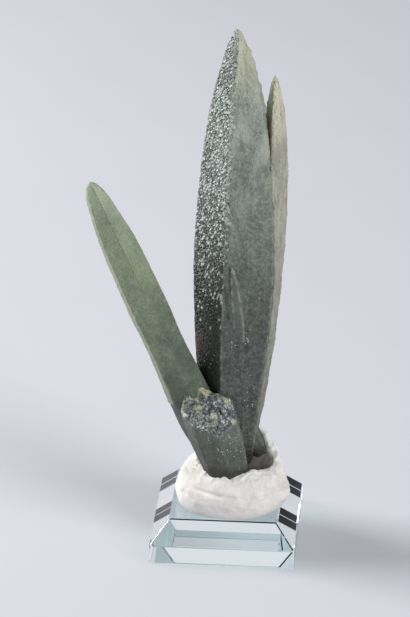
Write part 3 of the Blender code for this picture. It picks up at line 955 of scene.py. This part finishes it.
class GlassLooks(bpy.types.PropertyGroup):
    """Tint and polish of the glass block."""

    depth_colour: tint("Depth Colour", "Colour that thick glass takes", (0.72, 0.95, 0.93))
    depth_density: gauge("Depth Density", "How fast the glass takes its depth colour", 5.0)
    shadow_colour: tint(
        "Shadow Colour", "Tint of the light that the glass lets through", (0.86, 0.92, 0.92))
    smudge: portion("Smudge", "Roughness where the polish is handled", 0.008)


class StageLooks(bpy.types.PropertyGroup):
    """Floor, light and camera."""

    floor_colour: tint("Floor Colour", "Colour of the studio paper", linear(226, 226, 233))
    left_power: gauge("Left Light", "Power of the left softbox", 9.0, "POWER")
    right_power: gauge("Right Light", "Power of the right softbox", 8.9, "POWER")
    mirror_strength: gauge("Mirrored Surroundings", "Brightness of the room in the glass", 0.82)
    world_strength: gauge("Surroundings", "Strength of the light from all round", 0.28)


class SpecimenSettings(bpy.types.PropertyGroup):
    """All settings of the specimen."""

    crystals: PointerProperty(type=CrystalLooks)
    putty: PointerProperty(type=PuttyLooks)
    glass: PointerProperty(type=GlassLooks)
    stage: PointerProperty(type=StageLooks)


# Operators

class SPECIMEN_OT_tall_crystals(bpy.types.Operator):
    """Build the main crystal and the ones that grow along it"""

    bl_idname = "specimen.tall_crystals"
    bl_label = "Tall Crystals"

    def execute(self, context):
        looks = context.scene.specimen.crystals
        finish_crystal("main_crystal", main_detail, prase_material(
            "tall_prase", looks.root_green, looks.shaft_green, (66, 142), looks.bloom,
            looks.tip_colour, 128, looks, fleck_glint_share=0.12, worn=0.5))
        finish_crystal("side_crystal", side_detail, prase_material(
            "side_prase", linear(104, 104, 96), linear(184, 182, 162), (30, 110),
            looks.bloom, linear(236, 230, 200), 112, looks, worn=0.7))
        finish_crystal("low_crystal", plain_detail(0.7), prase_material(
            "low_prase", linear(66, 75, 70), linear(92, 102, 94), (56, 86),
            linear(120, 130, 120), looks.bloom, 82, looks, worn=0.8))
        return {"FINISHED"}


class SPECIMEN_OT_leaning_crystals(bpy.types.Operator):
    """Build the leaning crystal and the sliver below it"""

    bl_idname = "specimen.leaning_crystals"
    bl_label = "Leaning Crystals"

    def execute(self, context):
        looks = context.scene.specimen.crystals
        finish_crystal("leaning_crystal", lean_detail, prase_material(
            "leaning_prase", linear(64, 72, 62), looks.fresh_green, (34, 88),
            linear(168, 177, 150), linear(204, 212, 188), 94, looks))
        finish_crystal("sliver_crystal", plain_detail(0.5), prase_material(
            "sliver_prase", linear(50, 54, 52), linear(78, 82, 80), (20, 50),
            linear(118, 122, 122), linear(118, 122, 122), 200, looks))
        return {"FINISHED"}


class SPECIMEN_OT_stubs(bpy.types.Operator):
    """Build the broken stub in front and the small one at the back"""

    bl_idname = "specimen.stubs"
    bl_label = "Broken Stubs"

    def execute(self, context):
        looks = context.scene.specimen.crystals
        stub = prase_material(
            "stub_prase", looks.stub_green, linear(84, 92, 80), (20, 40),
            linear(118, 124, 118), linear(118, 122, 122), 200, looks, fleck_glint_share=0.3)
        finish_crystal("broken_stub", plain_detail(0.6), stub)
        finish_crystal("back_stub", plain_detail(0.8), stub)
        return {"FINISHED"}


class SPECIMEN_OT_putty(bpy.types.Operator):
    """Press the putty round the root"""

    bl_idname = "specimen.putty"
    bl_label = "Putty"

    def execute(self, context):
        build_putty(context.scene.specimen.putty)
        return {"FINISHED"}


class SPECIMEN_OT_glass_base(bpy.types.Operator):
    """Give the glass base its clear finish"""

    bl_idname = "specimen.glass_base"
    bl_label = "Glass Base"

    def execute(self, context):
        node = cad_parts["glass_base"]
        glass = glass_material(context.scene.specimen.glass)
        node.data.materials.clear()
        node.data.materials.append(glass)
        return {"FINISHED"}


class SPECIMEN_OT_stage(bpy.types.Operator):
    """Lay the pale floor, set the lights and the camera"""

    bl_idname = "specimen.stage"
    bl_label = "Stage"

    def execute(self, context):
        looks = context.scene.specimen.stage
        build_floor(looks)
        build_lights(looks)
        build_camera()
        return {"FINISHED"}


class SPECIMEN_PT_panel(bpy.types.Panel):
    """The specimen's operators and settings"""

    bl_label = "Prase Quartz Specimen"
    bl_idname = "SPECIMEN_PT_panel"
    bl_space_type = "VIEW_3D"
    bl_region_type = "UI"
    bl_category = "Specimen"

    def draw(self, context):
        for operator in OPERATORS:
            self.layout.operator(operator.bl_idname)
        settings = context.scene.specimen
        for group in (settings.crystals, settings.putty, settings.glass, settings.stage):
            box = self.layout.box()
            for key in group.__annotations__:
                box.prop(group, key)


# Putty, floor, lights and camera

def putty_slope(angle, row):
    """The putty's smooth shape, with each row a ring: up its slope, over the rim and in to
    the middle. Also the height of its rim over its foot."""
    radius, rim, rim_height = (round_the_compass(values, angle) for values in
                               (PUTTY_RADIUS, PUTTY_RIM_RADIUS, PUTTY_RIM_HEIGHT))
    reaches = [radius - 0.7, radius - 0.1, radius, radius - 0.9, rim + 1.5, rim, rim - 1.8,
               rim * 0]
    reach = np.array([smooth([(s, r[k]) for s, r in zip(PUTTY_STOPS, reaches)], row[:, 0])
                      for k in range(PUTTY_COLUMNS)]).T
    rise = rim_height - PUTTY_FOOT
    lift = smooth(list(zip(PUTTY_STOPS, PUTTY_LIFTS)), row) * rise
    return np.stack([PUTTY_CENTRE[0] + reach * np.cos(angle),
                     PUTTY_CENTRE[1] + reach * np.sin(angle),
                     PUTTY_FOOT + lift], axis=-1), rise


def putty_relief(places, angle, row):
    """The putty's fine work: smears and grain, the thumbed crease and crumbs at the rim."""
    fine = (0.28 * noise_at(places, 2.2, 2.0) + 0.12 * noise_at(places, 0.9, 5.0)
            + 0.05 * noise_at(places, (2.0, 2.0, 0.35), 7.0))
    facing = np.clip(np.cos(angle - PUTTY_CREASE_ANGLE), 0, 1)
    crease = bell(row - PUTTY_CREASE_ROW - 0.05 * np.sin(angle * 2), 0.035) * facing
    crumbs = np.maximum(noise_at(places, 1.1, 11.0) - 0.1, 0) * bell(row - 0.72, 0.12)
    return (fine - 0.75 * crease + 0.9 * crumbs) * np.minimum(1, row * 5)


def build_putty(looks):
    """The lump of putty, pressed up round the crystals with thumbed slopes."""
    angle = np.linspace(0, 2 * math.pi, PUTTY_COLUMNS, endpoint=False)
    row = np.linspace(0, 1, PUTTY_ROWS)[:-1, None]
    places, rise = putty_slope(angle, row)
    out = np.stack(np.broadcast_arrays(np.cos(angle), np.sin(angle), 0.6 + row * 0), axis=-1)
    lump = noise_at(places, PUTTY_LUMP_SIZE) * PUTTY_LUMP * np.minimum(1, row * 6)
    places = swell_knob(places + out * lump[..., None])
    places = places + grid_normals(places) * putty_relief(places, angle, row)[..., None]
    places[..., 2] = np.maximum(places[..., 2], PUTTY_FOOT)
    # Painted shade on the inner slope, where it runs down behind the crystals
    grime = np.broadcast_to(np.clip((row - PUTTY_INNER_SHADE_ROW) / 0.05, 0, 1), places.shape[:2])
    crown = (*PUTTY_CENTRE, PUTTY_FOOT + PUTTY_LIFTS[-1] * rise.mean())
    mesh = close_rings(places, crown, (*PUTTY_CENTRE, PUTTY_FOOT))
    piece = make_piece("putty_lump", *mesh, {"grime": grime.ravel()}, putty_material(looks),
                       False)
    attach(piece, "root")
    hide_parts("putty")


def swell_knob(places):
    """Pull the putty out into the knob at its right."""
    centre, size = np.array(PUTTY_KNOB), np.array(PUTTY_KNOB_SIZE)
    off = (places - centre) / size
    gap = np.linalg.norm(off, axis=2)[..., None]
    surface = centre + off / np.maximum(gap, 1e-6) * size
    inside = np.clip((1.0 - gap) / 0.35, 0, 1)
    outward = places[..., :1] > PUTTY_KNOB[0]
    return np.where(outward, places + (surface - places) * inside, places)


def build_floor(looks):
    """A wide sheet of pale paper."""
    mesh = bmesh.new()
    bmesh.ops.create_grid(mesh, x_segments=8, y_segments=8, size=FLOOR_REACH)
    bmesh.ops.translate(mesh, verts=mesh.verts, vec=(0, 0, -FLOOR_GAP * MM))
    data = bpy.data.meshes.new("studio_floor")
    mesh.to_mesh(data)
    mesh.free()
    data.materials.append(floor_material(looks))
    floor = new_object("studio_floor", data)


def softbox(name, place, size, power):
    """A soft rectangular light that faces the middle of the specimen."""
    light = bpy.data.lights.new(name, "AREA")
    light.shape = "RECTANGLE"
    light.size, light.size_y = size
    light.energy = power
    lamp = new_object(name, light)
    lamp.location = place
    aim = Vector((0, 0, LIT_HEIGHT)) - Vector(place)
    lamp.rotation_euler = aim.to_track_quat("-Z", "Y").to_euler()


def build_lights(looks):
    """A softbox on each side, and light from all round, brighter for rays out of the glass."""
    softbox("left_softbox", *LEFT_SOFTBOX, looks.left_power)
    softbox("right_softbox", *RIGHT_SOFTBOX, looks.right_power)
    world = bpy.data.worlds.new("studio_air")
    world.use_nodes = True
    tree = world.node_tree
    leaving_glass = add(tree, "LightPath", {}, "Is Transmission Ray")
    strength = remap(tree, leaving_glass, 0.0, 1.0, looks.world_strength,
                     looks.mirror_strength)
    feed(tree, tree.nodes["Background"], {"Color": (0.93, 0.94, 1.0), "Strength": strength})
    bpy.context.scene.world = world


def build_camera():
    """The photograph's viewpoint, worked out from the corners of the glass block."""
    data = bpy.data.cameras.new("photo_camera")
    data.sensor_width = SENSOR_WIDTH
    data.lens = CAMERA_FOCAL_PIXELS * SENSOR_WIDTH / PHOTO_LONG_SIDE
    data.clip_start, data.clip_end = (end * MM for end in CAMERA_CLIP)
    camera = new_object("photo_camera", data)
    camera.location = Vector(CAMERA_PLACE) * MM
    pitch = math.radians(90 - CAMERA_PITCH)
    camera.rotation_euler = (pitch, 0, math.radians(CAMERA_TURN))
    bpy.context.scene.camera = camera


OPERATORS = (
    SPECIMEN_OT_tall_crystals,
    SPECIMEN_OT_leaning_crystals,
    SPECIMEN_OT_stubs,
    SPECIMEN_OT_putty,
    SPECIMEN_OT_glass_base,
    SPECIMEN_OT_stage,
)
CLASSES = (CrystalLooks, PuttyLooks, GlassLooks, StageLooks, SpecimenSettings,
           *OPERATORS, SPECIMEN_PT_panel)


def register():
    for cls in CLASSES:
        bpy.utils.register_class(cls)
    bpy.types.Scene.specimen = PointerProperty(type=SpecimenSettings)


def unregister():
    del bpy.types.Scene.specimen
    for cls in reversed(CLASSES):
        bpy.utils.unregister_class(cls)


def main():
    register()
    bpy.context.scene.view_settings.view_transform = "Standard"
    for operator in OPERATORS:
        group, name = operator.bl_idname.split(".")
        getattr(getattr(bpy.ops, group), name)()


if __name__ == "__main__":
    main()
